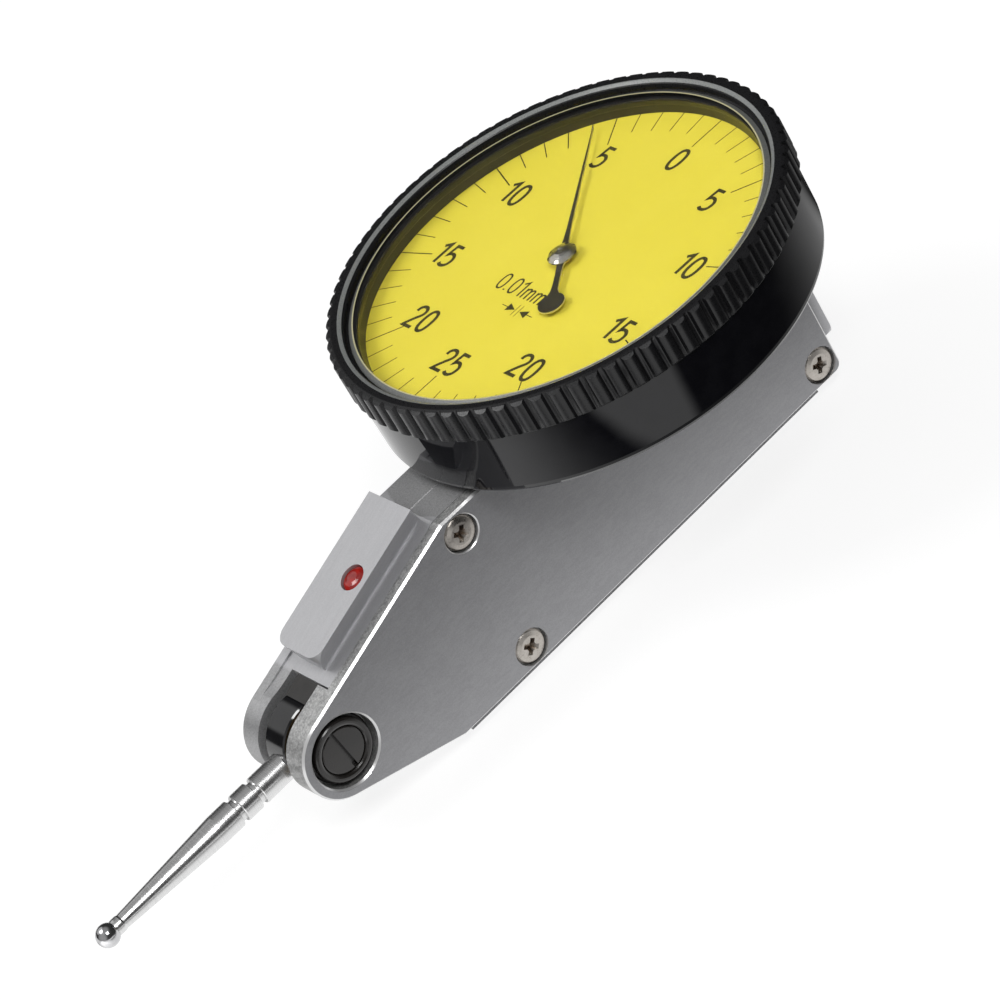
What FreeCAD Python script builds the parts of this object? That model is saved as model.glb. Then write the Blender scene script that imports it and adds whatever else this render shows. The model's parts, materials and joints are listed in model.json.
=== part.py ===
import FreeCAD, Part
import math
import os

# Dial test indicator (lever type) with three dovetails, a 40 mm rotating bezel and a
# swivelling stylus. Lengths are in millimetres.
#
# Construction axes: the centre of the dial's face is (0, 0, 0), +Z is the dial's normal,
# +X runs from the stylus towards the rear, -Y is the side with the removable cover.
# export() moves everything so that the row frame's origin is the centre of the bottom
# dovetail's flat face.

V = FreeCAD.Vector
os.makedirs("parts", exist_ok=True)

# ------------------------------------------------------------------ driving dimensions
# body
BODY_HALF = 4.35          # half width of the body over its two side faces
SEAM_Y = -3.20            # plane where the side cover meets the frame
FAR_WALL_Y = 2.90         # inner face of the frame's closed side
TAPER_DEG = 17.5          # nose taper above and below the pivot
NOSE_R = 4.03             # nose radius about the stylus pivot
TOP_Z = -7.10             # flat top of the frame, under the dial
BOTTOM_Z = -23.62         # lower edge of the side faces
REAR_X = 14.97            # rear edge of the side faces
CORNER_R = 0.80
EDGE_CHAMFER = 0.18
# stylus pivot
PIVOT_X = -38.85
PIVOT_Z = -16.53
STYLUS_L = 22.74          # ball centre to pivot: one pointer turn is 0.5 mm at the ball
SLOT_Y0 = -1.97           # inner face of the cover's ear
SLOT_Y1 = 2.03            # inner face of the frame's arm
SLOT_END_X = -36.80
HUB_CLEAR_R = 4.20
# dovetails (all three have the same section)
DOVE_HALF = 2.85          # half width of the flat face
DOVE_H = 2.13             # height over its floor
DOVE_ANGLE = 60.0         # flank angle
DOVE_S0 = 4.45            # front dovetail, distance along the taper from the pivot
DOVE_S1 = 18.35
REAR_FACE_X = 16.45
REAR_DOVE_Z0 = -21.90
BOTTOM_FACE_Z = -24.90
BOTTOM_DOVE_X0 = -28.60
BOTTOM_DOVE_X1 = 12.60
# cover screws
SCREW_AT = [(-21.20, -9.10, 60.0), (-21.20, -21.90, 50.0), (13.14, -21.90, 65.0)]
SCREW_HEAD_R = 1.47
SCREW_SINK_R = 1.62
SCREW_R = 0.70
# bezel
BEZEL_R = 20.00
SKIRT_R = 19.60
SKIRT_BOTTOM = -6.55
KNURL_Z0 = -0.70
BEZEL_TOP = 2.50
KNURLS = 80
KNURL_PHASE = 2.0
DIAL_R = 17.80
DIAL_SIGHT_R = 17.60
CRYSTAL_R = 18.30
CRYSTAL_Z0 = 1.30
CRYSTAL_Z1 = 1.95
# pointer
POINTER_DEG = 39.4        # where the pointer rests, from +X
POINTER_TIP = 16.45
# gear train
SECTOR_TEETH = 508        # teeth a full circle would have
PINION1_TEETH = 10
M1 = 0.15
CROWN_TEETH = 90
PINION2_TEETH = 16
M2 = 0.09
CROWN_AXIS_Z = PIVOT_Z    # the crown wheel's arbor lies level with the pivot, under the dial's centre
LEVER_Y0 = -1.85
LEVER_Y1 = -1.40

# row frame origin, in the construction axes
ORIGIN = V((BOTTOM_DOVE_X0 + BOTTOM_DOVE_X1) / 2.0, 0, BOTTOM_FACE_Z)

ALPHA = math.radians(TAPER_DEG)
CA, SA = math.cos(ALPHA), math.sin(ALPHA)


# ------------------------------------------------------------------ helpers
def export(name, *solids):
    flat = []
    for s in solids:
        flat.extend(s.Solids)
    placed = []
    for s in flat:
        c = s.copy()
        c.translate(ORIGIN * -1.0)
        if not c.isValid():
            c = c.removeSplitter()
        if c.Volume < 0:
            c.reverse()
        placed.append(c)
    shape = placed[0] if len(placed) == 1 else Part.makeCompound(placed)
    shape.exportStep("parts/%s.step" % name)
    b = shape.BoundBox
    print("%-22s solids %d valid %s volume %9.3f  box %.2f %.2f %.2f .. %.2f %.2f %.2f" % (
        name, len(placed), shape.isValid(), shape.Volume, b.XMin, b.YMin, b.ZMin, b.XMax, b.YMax, b.ZMax))


def cyl_y(r, y0, y1, x, z):
    return Part.makeCylinder(r, y1 - y0, V(x, y0, z), V(0, 1, 0))


def cyl_z(r, z0, z1, x=0.0, y=0.0):
    return Part.makeCylinder(r, z1 - z0, V(x, y, z0), V(0, 0, 1))


def box(x0, x1, y0, y1, z0, z1):
    return Part.makeBox(x1 - x0, y1 - y0, z1 - z0, V(x0, y0, z0))


def prism_xz(points, y0, y1):
    w = Part.makePolygon([V(x, y0, z) for x, z in points] + [V(points[0][0], y0, points[0][1])])
    return Part.Face(w).extrude(V(0, y1 - y0, 0))


def prism_xy(points, z0, z1):
    w = Part.makePolygon([V(x, y, z0) for x, y in points] + [V(points[0][0], points[0][1], z0)])
    return Part.Face(w).extrude(V(0, 0, z1 - z0))


def revolve_z(points, x=0.0, y=0.0):
    """Solid of revolution about Z from (radius, z) points."""
    w = Part.makePolygon([V(r, 0, z) for r, z in points] + [V(points[0][0], 0, points[0][1])])
    s = Part.Face(w).revolve(V(0, 0, 0), V(0, 0, 1), 360)
    s.translate(V(x, y, 0))
    return s


def revolve_y(points, x, z):
    """Solid of revolution about an axis along Y from (radius, y) points."""
    w = Part.makePolygon([V(r, y, 0) for r, y in points] + [V(points[0][0], points[0][1], 0)])
    s = Part.Face(w).revolve(V(0, 0, 0), V(0, 1, 0), 360)
    s.translate(V(x, 0, z))
    return s


def fuse(first, *others):
    return first.multiFuse(list(others)).removeSplitter()


def cut(first, *others):
    return first.cut(Part.makeCompound(list(others))) if len(others) > 1 else first.cut(others[0])


def solid(shape):
    """The largest solid of a boolean's result."""
    best = max(shape.Solids, key=lambda s: s.Volume)
    return best


def on_taper(shape):
    """From local axes (x along the upper taper from the pivot, z off it) to the body."""
    s = shape.copy()
    s.rotate(V(0, 0, 0), V(0, 1, 0), -TAPER_DEG)
    s.translate(V(PIVOT_X, 0, PIVOT_Z))
    return s


def taper_point(s, h):
    return (PIVOT_X + s * CA - h * SA, PIVOT_Z + s * SA + h * CA)


# ------------------------------------------------------------------ body outline
TOP_T = taper_point(0, NOSE_R)                                   # upper tangent point
LOW_T = (PIVOT_X - NOSE_R * SA, PIVOT_Z - NOSE_R * CA)           # lower tangent point
TOP_CORNER = (TOP_T[0] + (TOP_Z - TOP_T[1]) / math.tan(ALPHA), TOP_Z)
LOW_CORNER = (LOW_T[0] + (LOW_T[1] - BOTTOM_Z) / math.tan(ALPHA), BOTTOM_Z)


def body_outline(y, grow=0.0):
    """Closed wire of the body's side view at the plane y."""
    rc = CORNER_R
    p = lambda x, z: V(x, y, z)
    k = math.sqrt(0.5)
    e = [
        Part.LineSegment(p(*TOP_T), p(*TOP_CORNER)),
        Part.LineSegment(p(*TOP_CORNER), p(REAR_X, TOP_Z)),
        Part.LineSegment(p(REAR_X, TOP_Z), p(REAR_X, BOTTOM_Z + rc)),
        Part.Arc(p(REAR_X, BOTTOM_Z + rc), p(REAR_X - rc + rc * k, BOTTOM_Z + rc - rc * k), p(REAR_X - rc, BOTTOM_Z)),
        Part.LineSegment(p(REAR_X - rc, BOTTOM_Z), p(*LOW_CORNER)),
        Part.LineSegment(p(*LOW_CORNER), p(*LOW_T)),
        Part.Arc(p(*LOW_T), p(PIVOT_X - NOSE_R, PIVOT_Z), p(*TOP_T)),
    ]
    return Part.Wire([s.toShape() for s in e])


def body_prism(y0, y1):
    return Part.Face(body_outline(y0)).extrude(V(0, y1 - y0, 0))


def dovetail(length, r_end):
    """Dovetail bar in local axes: x 0..length, flat face at z = 0, hanging down, floor at -DOVE_H.
    The x = 0 end has rounded plan corners, or is square if r_end is 0."""
    t = 1.0 / math.tan(math.radians(DOVE_ANGLE))
    deep = DOVE_H + 0.5
    foot = DOVE_HALF - DOVE_H * t
    pts = [(-DOVE_HALF, 0), (DOVE_HALF, 0), (foot, -DOVE_H), (foot, -deep), (-foot, -deep), (-foot, -DOVE_H)]
    w = Part.makePolygon([V(0, u, h) for u, h in pts] + [V(0, pts[0][0], pts[0][1])])
    bar = Part.Face(w).extrude(V(length, 0, 0))
    if r_end > 0:
        r, b, k = r_end, DOVE_HALF, math.sqrt(0.5)
        z = -deep - 0.1
        e = [
            Part.LineSegment(V(length + 1, -b, z), V(r, -b, z)),
            Part.Arc(V(r, -b, z), V(r - r * k, -b + r - r * k, z), V(0, -b + r, z)),
            Part.LineSegment(V(0, -b + r, z), V(0, b - r, z)),
            Part.Arc(V(0, b - r, z), V(r - r * k, b - r + r * k, z), V(r, b, z)),
            Part.LineSegment(V(r, b, z), V(length + 1, b, z)),
            Part.LineSegment(V(length + 1, b, z), V(length + 1, -b, z)),
        ]
        plan = Part.Face(Part.Wire([s.toShape() for s in e])).extrude(V(0, 0, deep + 1))
        bar = bar.common(plan)
    return bar


# ------------------------------------------------------------------ frame casting
frame = body_prism(SEAM_Y, BODY_HALF)

# soften the edges of the closed side
side_edges = [e for e in frame.Edges if all(abs(v.Point.y - BODY_HALF) < 1e-6 for v in e.Vertexes)
              and abs(e.BoundBox.YMin - BODY_HALF) < 1e-6]
frame = frame.makeChamfer(EDGE_CHAMFER, side_edges)

# cavity for the movement
cav_top = lambda x: TOP_T[1] + (x - TOP_T[0]) * math.tan(ALPHA) - 1.80
cav_low = lambda x: LOW_T[1] - (x - LOW_T[0]) * math.tan(ALPHA) + 1.80
CAV_X0, CAV_X1, CAV_Z0, CAV_Z1 = -33.60, 13.20, -21.60, -8.90
x_top = TOP_T[0] + (CAV_Z1 + 1.80 - TOP_T[1]) / math.tan(ALPHA)
x_low = LOW_T[0] + (LOW_T[1] + 1.80 - CAV_Z0) / math.tan(ALPHA)
cavity = prism_xz([(CAV_X0, cav_top(CAV_X0)), (x_top, CAV_Z1), (CAV_X1, CAV_Z1), (CAV_X1, CAV_Z0),
                   (x_low, CAV_Z0), (CAV_X0, cav_low(CAV_X0))], SEAM_Y - 1, FAR_WALL_Y)
# bosses left standing in the cavity: three for the cover screws, three posts for the bridge
BRIDGE_AT = [(-8.0, -11.0), (7.5, -11.2), (7.5, -20.0)]
bosses = [cyl_y(1.75, SEAM_Y - 2, FAR_WALL_Y + 1, x, z) for x, z, _ in SCREW_AT]
posts = [cyl_y(1.15, -2.20, FAR_WALL_Y + 1, x, z) for x, z in BRIDGE_AT]
cavity = cut(cavity, *(bosses + posts))
frame = frame.cut(cavity)

# clevis slot for the stylus hub, its round end, and the way through for the lever
slot_front = box(PIVOT_X - 8, SLOT_END_X, SEAM_Y - 1, SLOT_Y1, PIVOT_Z - 9, PIVOT_Z + 9)
slot_round = cyl_y(HUB_CLEAR_R, SEAM_Y - 1, SLOT_Y1, PIVOT_X, PIVOT_Z)
lever_way = box(-36.0, -33.0, SEAM_Y - 1, -1.15, PIVOT_Z - 1.95, PIVOT_Z + 1.95)
frame = frame.cut(Part.makeCompound([slot_front.fuse(slot_round), lever_way]))

# floors milled beside the rear and bottom dovetails
FLOOR_HALF = 3.20
REAR_FLOOR_X = REAR_FACE_X - 1.95
BOTTOM_FLOOR_Z = BOTTOM_FACE_Z + 1.95
frame = frame.cut(box(REAR_FLOOR_X, REAR_X + 1, SEAM_Y - 1, FLOOR_HALF, -26, TOP_Z + 1))
frame = frame.cut(box(LOW_CORNER[0] - 6, REAR_X + 1, SEAM_Y - 1, FLOOR_HALF, -26, BOTTOM_FLOOR_Z))

# floor milled beside the front dovetail, with the cutter's round run-out at both ends
MILL_H, MILL_S0, MILL_S1, MILL_R = NOSE_R - 0.18, 2.40, 16.40, 10.0
mill = Part.makeBox(MILL_S1 - MILL_S0, FLOOR_HALF - SEAM_Y + 1, 6.0, V(MILL_S0, SEAM_Y - 1, MILL_H))
mill_lo = Part.makeCylinder(MILL_R, FLOOR_HALF - SEAM_Y + 1, V(MILL_S0, SEAM_Y - 1, MILL_H + MILL_R), V(0, 1, 0))
mill_hi = Part.makeCylinder(MILL_R, FLOOR_HALF - SEAM_Y + 1, V(MILL_S1, SEAM_Y - 1, MILL_H + MILL_R), V(0, 1, 0))
frame = frame.cut(Part.makeCompound([on_taper(mill.fuse([mill_lo, mill_hi]))]))

# the three dovetails
front_bar = dovetail(DOVE_S1 - DOVE_S0, 1.25)
front_bar.translate(V(DOVE_S0, 0, NOSE_R + DOVE_H))
front_bar = on_taper(front_bar)
rear_len = TOP_Z - REAR_DOVE_Z0
rear_bar = dovetail(rear_len, 1.25)
rear_bar.rotate(V(0, 0, 0), V(0, 1, 0), 90)                       # bar along -Z, face towards +X
rear_bar.rotate(V(0, 0, 0), V(1, 0, 0), 180)                      # bar along +Z
rear_bar.translate(V(REAR_FACE_X, 0, REAR_DOVE_Z0))
bottom_bar = dovetail(BOTTOM_DOVE_X1 - BOTTOM_DOVE_X0, 0)
bottom_bar.rotate(V(0, 0, 0), V(0, 1, 0), 180)                    # face towards -Z, bar along -X
bottom_bar.translate(V(BOTTOM_DOVE_X1, 0, BOTTOM_FACE_Z))
frame = fuse(frame, front_bar, rear_bar, bottom_bar)

# faint mould parting ridge across the cast neck
ridge_w = Part.makePolygon([V(TOP_CORNER[0] + 0.15, -0.14, TOP_Z - 0.05), V(TOP_CORNER[0] + 0.15, 0.14, TOP_Z - 0.05),
                            V(TOP_CORNER[0] + 0.15, 0.0, TOP_Z + 0.06), V(TOP_CORNER[0] + 0.15, -0.14, TOP_Z - 0.05)])
ridge = Part.Face(ridge_w).extrude(V(4.2, 0, 0))
frame = frame.fuse(ridge)

# return spring: a bent leaf, rooted in a slit of the upper front boss, bearing on the lever beside the pivot
ADJ_TIP_H = 1.35
ADJ_NECK_H = 4.72         # the screw is slender below this, so that it stays inside the dovetail's foot
ADJ_S, ADJ_Y = 11.61, -1.14
tip = taper_point(ADJ_S, ADJ_TIP_H)
LEAF = [(SCREW_AT[0][0] - 1.20, SCREW_AT[0][1] - 0.55), (tip[0] + 0.55, tip[1] + 0.168), (tip[0] - 0.60, tip[1] - 0.195), (-32.60, PIVOT_Z + 1.55)]


def strip(points, t):
    """Closed outline of a thin leaf whose upper side follows the points."""
    under = []
    for i, (x, z) in enumerate(points):
        a = points[max(i - 1, 0)]
        b = points[min(i + 1, len(points) - 1)]
        d = math.hypot(b[0] - a[0], b[1] - a[1])
        nx, nz = -(b[1] - a[1]) / d, (b[0] - a[0]) / d
        if nz > 0:
            nx, nz = -nx, -nz
        under.append((x + nx * t, z + nz * t))
    return points + under[::-1]


leaf = prism_xz(strip(LEAF, 0.09), -1.82, -1.42)
frame = frame.cut(leaf)

# holes: cover screws, bridge screws, pivot bearing, arbor jewel, centre arbor, dial base screws, adjusting screw
BASE_SCREW_AT = [(-12.0, 0.6), (-6.0, 0.6), (11.0, 0.6)]
holes = [cyl_y(SCREW_R, SEAM_Y - 1, -0.6, x, z) for x, z, _ in SCREW_AT]
holes += [cyl_y(0.45, -2.3, 0.2, x, z) for x, z in BRIDGE_AT]
holes += [cyl_y(0.95, SLOT_Y1 - 0.5, 3.00, PIVOT_X, PIVOT_Z)]
holes += [cyl_y(0.60, FAR_WALL_Y - 0.5, 3.35, 0, CROWN_AXIS_Z)]
holes += [cyl_z(2.20, -9.5, -6.9)]
holes += [cyl_z(0.80, -9.4, -6.5, x, y) for x, y in BASE_SCREW_AT]
adj_hole = Part.makeCylinder(0.42, 6.0, V(ADJ_S, ADJ_Y, 1.0), V(0, 0, 1)).fuse(
    Part.makeCylinder(0.80, 1.5, V(ADJ_S, ADJ_Y, ADJ_NECK_H), V(0, 0, 1)))
adj_sink = Part.makeCylinder(1.15, 1.2, V(ADJ_S, ADJ_Y, NOSE_R + DOVE_H - 0.85), V(0, 0, 1))
holes += [on_taper(adj_hole), on_taper(adj_sink)]
frame = cut(frame, *holes)
frame = solid(frame)
export("frame_casting", frame)

# ------------------------------------------------------------------ side cover with the near clevis ear
cover = body_prism(-BODY_HALF, SEAM_Y)
face_edges = [e for e in cover.Edges if e.BoundBox.YMax < -BODY_HALF + 1e-6]
cover = cover.makeChamfer(EDGE_CHAMFER, face_edges)
seam_edges = [e for e in cover.Edges if e.BoundBox.YMin > SEAM_Y - 1e-6]
cover = cover.makeChamfer(0.10, seam_edges)
ear_front = box(PIVOT_X - 8, SLOT_END_X - 0.22, SEAM_Y - 0.4, SLOT_Y0, PIVOT_Z - 9, PIVOT_Z + 9).common(body_prism(SEAM_Y - 0.3, SLOT_Y0))
ear_round = cyl_y(NOSE_R, SEAM_Y - 0.3, SLOT_Y0, PIVOT_X, PIVOT_Z)
ear = ear_front.fuse(ear_round)
cover = fuse(cover, ear)
PIVOT_SINK_R = 3.12
cover_cuts = [cyl_y(PIVOT_SINK_R, -BODY_HALF - 1, -2.75, PIVOT_X, PIVOT_Z),
              cyl_y(0.95, -3.0, SLOT_Y0 + 0.5, PIVOT_X, PIVOT_Z)]
for x, z, _ in SCREW_AT:
    cover_cuts.append(cyl_y(SCREW_SINK_R, -BODY_HALF - 1, -3.62, x, z))
    cover_cuts.append(cyl_y(SCREW_R + 0.10, -4.0, SEAM_Y + 1, x, z))
cover = cut(cover, *cover_cuts)
cover = solid(cover)
# broken edge round the pivot sink
rim = [e for e in cover.Edges if e.BoundBox.YMax < -BODY_HALF + 1e-4 and e.BoundBox.YMin > -BODY_HALF - 1e-4
       and abs(e.BoundBox.XLength - 2 * PIVOT_SINK_R) < 0.05]
if rim:
    cover = cover.makeChamfer(0.16, rim)
sinks = [e for e in cover.Edges if e.BoundBox.YMax < -BODY_HALF + 1e-4 and e.BoundBox.YMin > -BODY_HALF - 1e-4
         and abs(e.BoundBox.XLength - 2 * SCREW_SINK_R) < 0.02]
if sinks:
    cover = cover.makeChamfer(0.10, sinks)
print("rims broken", len(rim), len(sinks))
export("side_cover", cover)

# ------------------------------------------------------------------ cover screws, cross recess
screws = []
for x, z, ang in SCREW_AT:
    y_seat, y_rim, y_top = -3.62, -4.06, -4.30
    head = revolve_y([(0, y_seat), (SCREW_HEAD_R, y_seat), (SCREW_HEAD_R, y_rim), (1.32, y_rim - 0.12),
                      (0.95, y_top + 0.03), (0.5, y_top), (0, y_top)], x, z)
    shank = cyl_y(SCREW_R, y_seat - 0.05, -1.0, x, z)
    tip = revolve_y([(0, -1.0), (SCREW_R, -1.0), (0.45, -0.75), (0, -0.75)], x, z)
    s = fuse(head, shank, tip)
    arms = []
    for k in range(2):
        # each arm is a tapered blade: wide at the mouth, narrow at the bottom
        w0, w1, l0, l1 = 0.25, 0.12, 0.90, 0.26
        mouth = Part.makePolygon([V(-l0, -4.5, -w0), V(l0, -4.5, -w0), V(l0, -4.5, w0), V(-l0, -4.5, w0), V(-l0, -4.5, -w0)])
        foot = Part.makePolygon([V(-l1, -3.70, -w1), V(l1, -3.70, -w1), V(l1, -3.70, w1), V(-l1, -3.70, w1), V(-l1, -3.70, -w1)])
        arm = Part.makeLoft([mouth, foot], True, True)
        arm.rotate(V(0, 0, 0), V(0, 1, 0), -(ang + 90 * k))
        arm.translate(V(x, 0, z))
        arms.append(arm)
    cone = Part.makeCone(0.52, 0.14, 0.80, V(x, -4.5, z), V(0, 1, 0))
    s = s.cut(arms[0].fuse([arms[1], cone]))
    screws.append(solid(s))
export("cover_screws", *screws)

# ------------------------------------------------------------------ pivot screw and lock ring in the cover's ear
lock_ring = revolve_y([(2.04, -2.75), (2.92, -2.75), (2.92, -3.30), (2.80, -3.42), (2.70, -3.46), (2.70, -3.96), (2.66, -4.06), (2.57, -4.14),
                       (2.44, -4.17), (2.28, -4.16), (2.14, -4.10), (2.06, -4.00), (2.04, -3.92)], PIVOT_X, PIVOT_Z)
export("pivot_lock_ring", lock_ring)
p_screw = revolve_y([(0, -2.75), (2.00, -2.75), (2.00, -3.90), (1.97, -3.97), (1.88, -4.01), (0, -4.01)], PIVOT_X, PIVOT_Z)
ps_slot = box(-3, 3, -5, -3.55, -0.19, 0.19)
ps_slot.rotate(V(0, 0, 0), V(0, 1, 0), 84)
ps_slot.translate(V(PIVOT_X, 0, PIVOT_Z))
export("pivot_screw", solid(p_screw.cut(ps_slot)))

# plain bearings of the pivot shaft, one in each arm
near_b = cyl_y(0.95, -2.75, -2.05, PIVOT_X, PIVOT_Z).cut(cyl_y(0.43, -3, -1, PIVOT_X, PIVOT_Z))
far_b = cyl_y(0.95, 2.10, 3.00, PIVOT_X, PIVOT_Z).cut(cyl_y(0.43, 1, 4, PIVOT_X, PIVOT_Z))
export("pivot_bearings", near_b, far_b)

# ------------------------------------------------------------------ dust guard closing the slot behind the hub
g_out = prism_xz([taper_point(0.9, 3.62), taper_point(3.28, 3.62), (SLOT_END_X - 0.02, PIVOT_Z + 2.2), (SLOT_END_X - 1.6, PIVOT_Z + 2.2)],
                 -1.85, 1.35)
guard = g_out.cut(cyl_y(3.87, -4, 4, PIVOT_X, PIVOT_Z))
guard = guard.common(box(-45, SLOT_END_X - 0.02, -1.85, 1.35, PIVOT_Z, PIVOT_Z + 9))
shell = cyl_y(HUB_CLEAR_R - 0.02, -1.05, 1.35, PIVOT_X, PIVOT_Z).cut(cyl_y(3.87, -3, 3, PIVOT_X, PIVOT_Z))
shell = shell.common(box(SLOT_END_X - 0.8, PIVOT_X + 6, -1.05, 1.35, PIVOT_Z - 2.6, PIVOT_Z + 6))
guard = fuse(solid(guard), solid(shell))
export("dust_guard", solid(guard))

# ------------------------------------------------------------------ adjusting screw and its lacquer seal
adj = Part.makeCylinder(0.42, 5.20 - ADJ_TIP_H, V(ADJ_S, ADJ_Y, ADJ_TIP_H), V(0, 0, 1)).fuse(
    Part.makeCylinder(0.80, 5.20 - ADJ_NECK_H, V(ADJ_S, ADJ_Y, ADJ_NECK_H), V(0, 0, 1)))
adj = adj.cut(Part.makeBox(2.0, 0.22, 0.4, V(ADJ_S - 1.0, ADJ_Y - 0.11, 4.90)))
export("adjusting_screw", solid(on_taper(adj)))
face_h = NOSE_R + DOVE_H
dome_pts = [(0, face_h - 0.84), (1.13, face_h - 0.84), (1.13, face_h - 0.32), (1.0, face_h - 0.16), (0.78, face_h - 0.03),
            (0.5, face_h + 0.05), (0.22, face_h + 0.09), (0, face_h + 0.10)]
dome = revolve_z(dome_pts, ADJ_S, ADJ_Y)
export("seal", solid(on_taper(dome)))

# ------------------------------------------------------------------ movement bridge and its screws
bridge = prism_xz([(-9.4, -12.2), (-9.4, -9.75), (8.8, -9.75), (8.8, -21.3), (6.2, -21.3), (4.4, -18.2),
                   (-1.4, -18.2), (-3.0, -12.2)], -2.90, -2.20)
bracket = box(-0.55, 1.60, -2.30, 0.52, -13.55, -13.00)
bridge = fuse(bridge, bracket)
b_cuts = [cyl_y(0.60, -3.5, -2.45, 0, CROWN_AXIS_Z), cyl_y(0.42, -3.5, -1.5, 0, CROWN_AXIS_Z), cyl_z(0.42, -14, -12)]
for x, z in BRIDGE_AT:
    b_cuts.append(cyl_y(0.50, -4, -1, x, z))
    b_cuts.append(cyl_y(0.95, -4, -2.62, x, z))
bridge = cut(bridge, *b_cuts)
export("movement_bridge", solid(bridge))
bs = []
for i, (x, z) in enumerate(BRIDGE_AT):
    s = fuse(cyl_y(0.90, -3.08, -2.62, x, z), cyl_y(0.45, -2.62, 0.1, x, z))
    sl = box(-1.2, 1.2, -3.5, -2.90, -0.11, 0.11)
    sl.rotate(V(0, 0, 0), V(0, 1, 0), 25 + 50 * i)
    sl.translate(V(x, 0, z))
    bs.append(solid(s.cut(sl)))
export("bridge_screws", *bs)

# ring jewels: crown arbor near and far, centre arbor foot
j_near = cyl_y(0.60, -2.90, -2.45, 0, CROWN_AXIS_Z).cut(cyl_y(0.18, -4, 0, 0, CROWN_AXIS_Z))
j_far = cyl_y(0.60, 2.92, 3.35, 0, CROWN_AXIS_Z).cut(cyl_y(0.18, 2, 4, 0, CROWN_AXIS_Z))
j_foot = cyl_z(0.42, -13.55, -13.00).cut(cyl_z(0.13, -14, -12))
export("arbor_jewels", j_near, j_far, j_foot)

# ------------------------------------------------------------------ lever with its tooth sector
def sector_outline():
    pitch = math.pi * M1
    rp = M1 * SECTOR_TEETH / 2.0
    rt, rr = rp + M1 - 0.005, rp - 1.25 * M1
    half_p = pitch / 4.0 * 0.86
    half_t = half_p - (rt - rp) * math.tan(math.radians(20))
    half_r = half_p + (rp - rr) * math.tan(math.radians(20))
    pts = []
    n = 4
    for k in range(-n, n + 1):
        a = k * 2 * math.pi / SECTOR_TEETH
        for r, off in ((rr, -half_r), (rt, -half_t), (rt, half_t), (rr, half_r)):
            t = a + off / r
            pts.append((PIVOT_X + r * math.cos(t), PIVOT_Z + r * math.sin(t)))
    return pts, rr


teeth, root_r = sector_outline()
sec_half = 4.62 * 2 * math.pi / SECTOR_TEETH
inner_r = 35.6
outline = [(PIVOT_X + root_r * math.cos(-sec_half), PIVOT_Z + root_r * math.sin(-sec_half))] + teeth + \
          [(PIVOT_X + root_r * math.cos(sec_half), PIVOT_Z + root_r * math.sin(sec_half)),
           (PIVOT_X + inner_r * math.cos(sec_half * 0.9), PIVOT_Z + inner_r * math.sin(sec_half * 0.9)),
           (PIVOT_X + inner_r * math.cos(-sec_half * 0.9), PIVOT_Z + inner_r * math.sin(-sec_half * 0.9))]
sector = prism_xz(outline, LEVER_Y0, LEVER_Y1)
arm = prism_xz([(PIVOT_X, PIVOT_Z - 1.55), (PIVOT_X + 36.2, PIVOT_Z - 0.95), (PIVOT_X + 36.2, PIVOT_Z + 0.95), (PIVOT_X, PIVOT_Z + 1.55)],
               LEVER_Y0, LEVER_Y1)
disc = cyl_y(3.30, LEVER_Y0, LEVER_Y1, PIVOT_X, PIVOT_Z)
lever = fuse(disc, arm, sector)
light = []
for x0, x1, h0, h1 in ((-31.5, -24.0, 0.72, 0.62), (-22.0, -14.0, 0.58, 0.48), (-12.0, -5.0, 0.45, 0.40)):
    light.append(prism_xz([(x0, PIVOT_Z - h0), (x1, PIVOT_Z - h1), (x1, PIVOT_Z + h1), (x0, PIVOT_Z + h0)], -3, 0))
light.append(cyl_y(0.80, -3, 0, PIVOT_X, PIVOT_Z))
lever = cut(lever, *light)
export("lever_sector", solid(lever))

# pivot shaft: shouldered, with a journal at each end
shaft = revolve_y([(0, -2.68), (0.40, -2.68), (0.40, -1.95), (0.80, -1.95), (0.80, 1.95), (0.40, 1.95), (0.40, 2.85), (0, 2.85)],
                  PIVOT_X, PIVOT_Z)
export("pivot_shaft", shaft)
# bronze friction washer between lever and hub
washer = cyl_y(3.30, LEVER_Y1, -1.15, PIVOT_X, PIVOT_Z).cut(cyl_y(0.80, -3, 0, PIVOT_X, PIVOT_Z))
export("friction_washer", washer)
# dished clutch spring and the nut that loads it
clutch = revolve_y([(0.82, 1.28), (0.82, 1.48), (1.05, 1.48), (2.30, 1.17), (2.30, 0.99), (2.10, 0.99)], PIVOT_X, PIVOT_Z)
export("clutch_spring", clutch)
nut_pts = [(PIVOT_X + 1.75 * math.cos(math.radians(60 * k + 12)), PIVOT_Z + 1.75 * math.sin(math.radians(60 * k + 12))) for k in range(6)]
nut = prism_xz(nut_pts, 1.50, 1.90).cut(cyl_y(0.80, 1, 3, PIVOT_X, PIVOT_Z))
export("clutch_nut", solid(nut))

# ------------------------------------------------------------------ stylus hub, stylus and ball
HUB_Y0, HUB_Y1, HUB_R = -1.14, 1.45, 3.75
hub = revolve_y([(0.84, HUB_Y0), (3.63, HUB_Y0), (HUB_R, HUB_Y0 + 0.12), (HUB_R, HUB_Y1 - 0.12), (3.63, HUB_Y1),
                 (2.45, HUB_Y1), (2.45, 0.98), (0.84, 0.98)], PIVOT_X, PIVOT_Z)
SHOULDER = 3.40           # the stylus shoulder seats this far from the pivot
hub = hub.cut(Part.makeCylinder(1.27, 2.0, V(PIVOT_X - SHOULDER, 0, PIVOT_Z), V(-1, 0, 0)))
hub = hub.cut(Part.makeCylinder(0.80, 3.0, V(PIVOT_X - 1.1, 0, PIVOT_Z), V(-1, 0, 0)))
export("stylus_hub", solid(hub))


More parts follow.
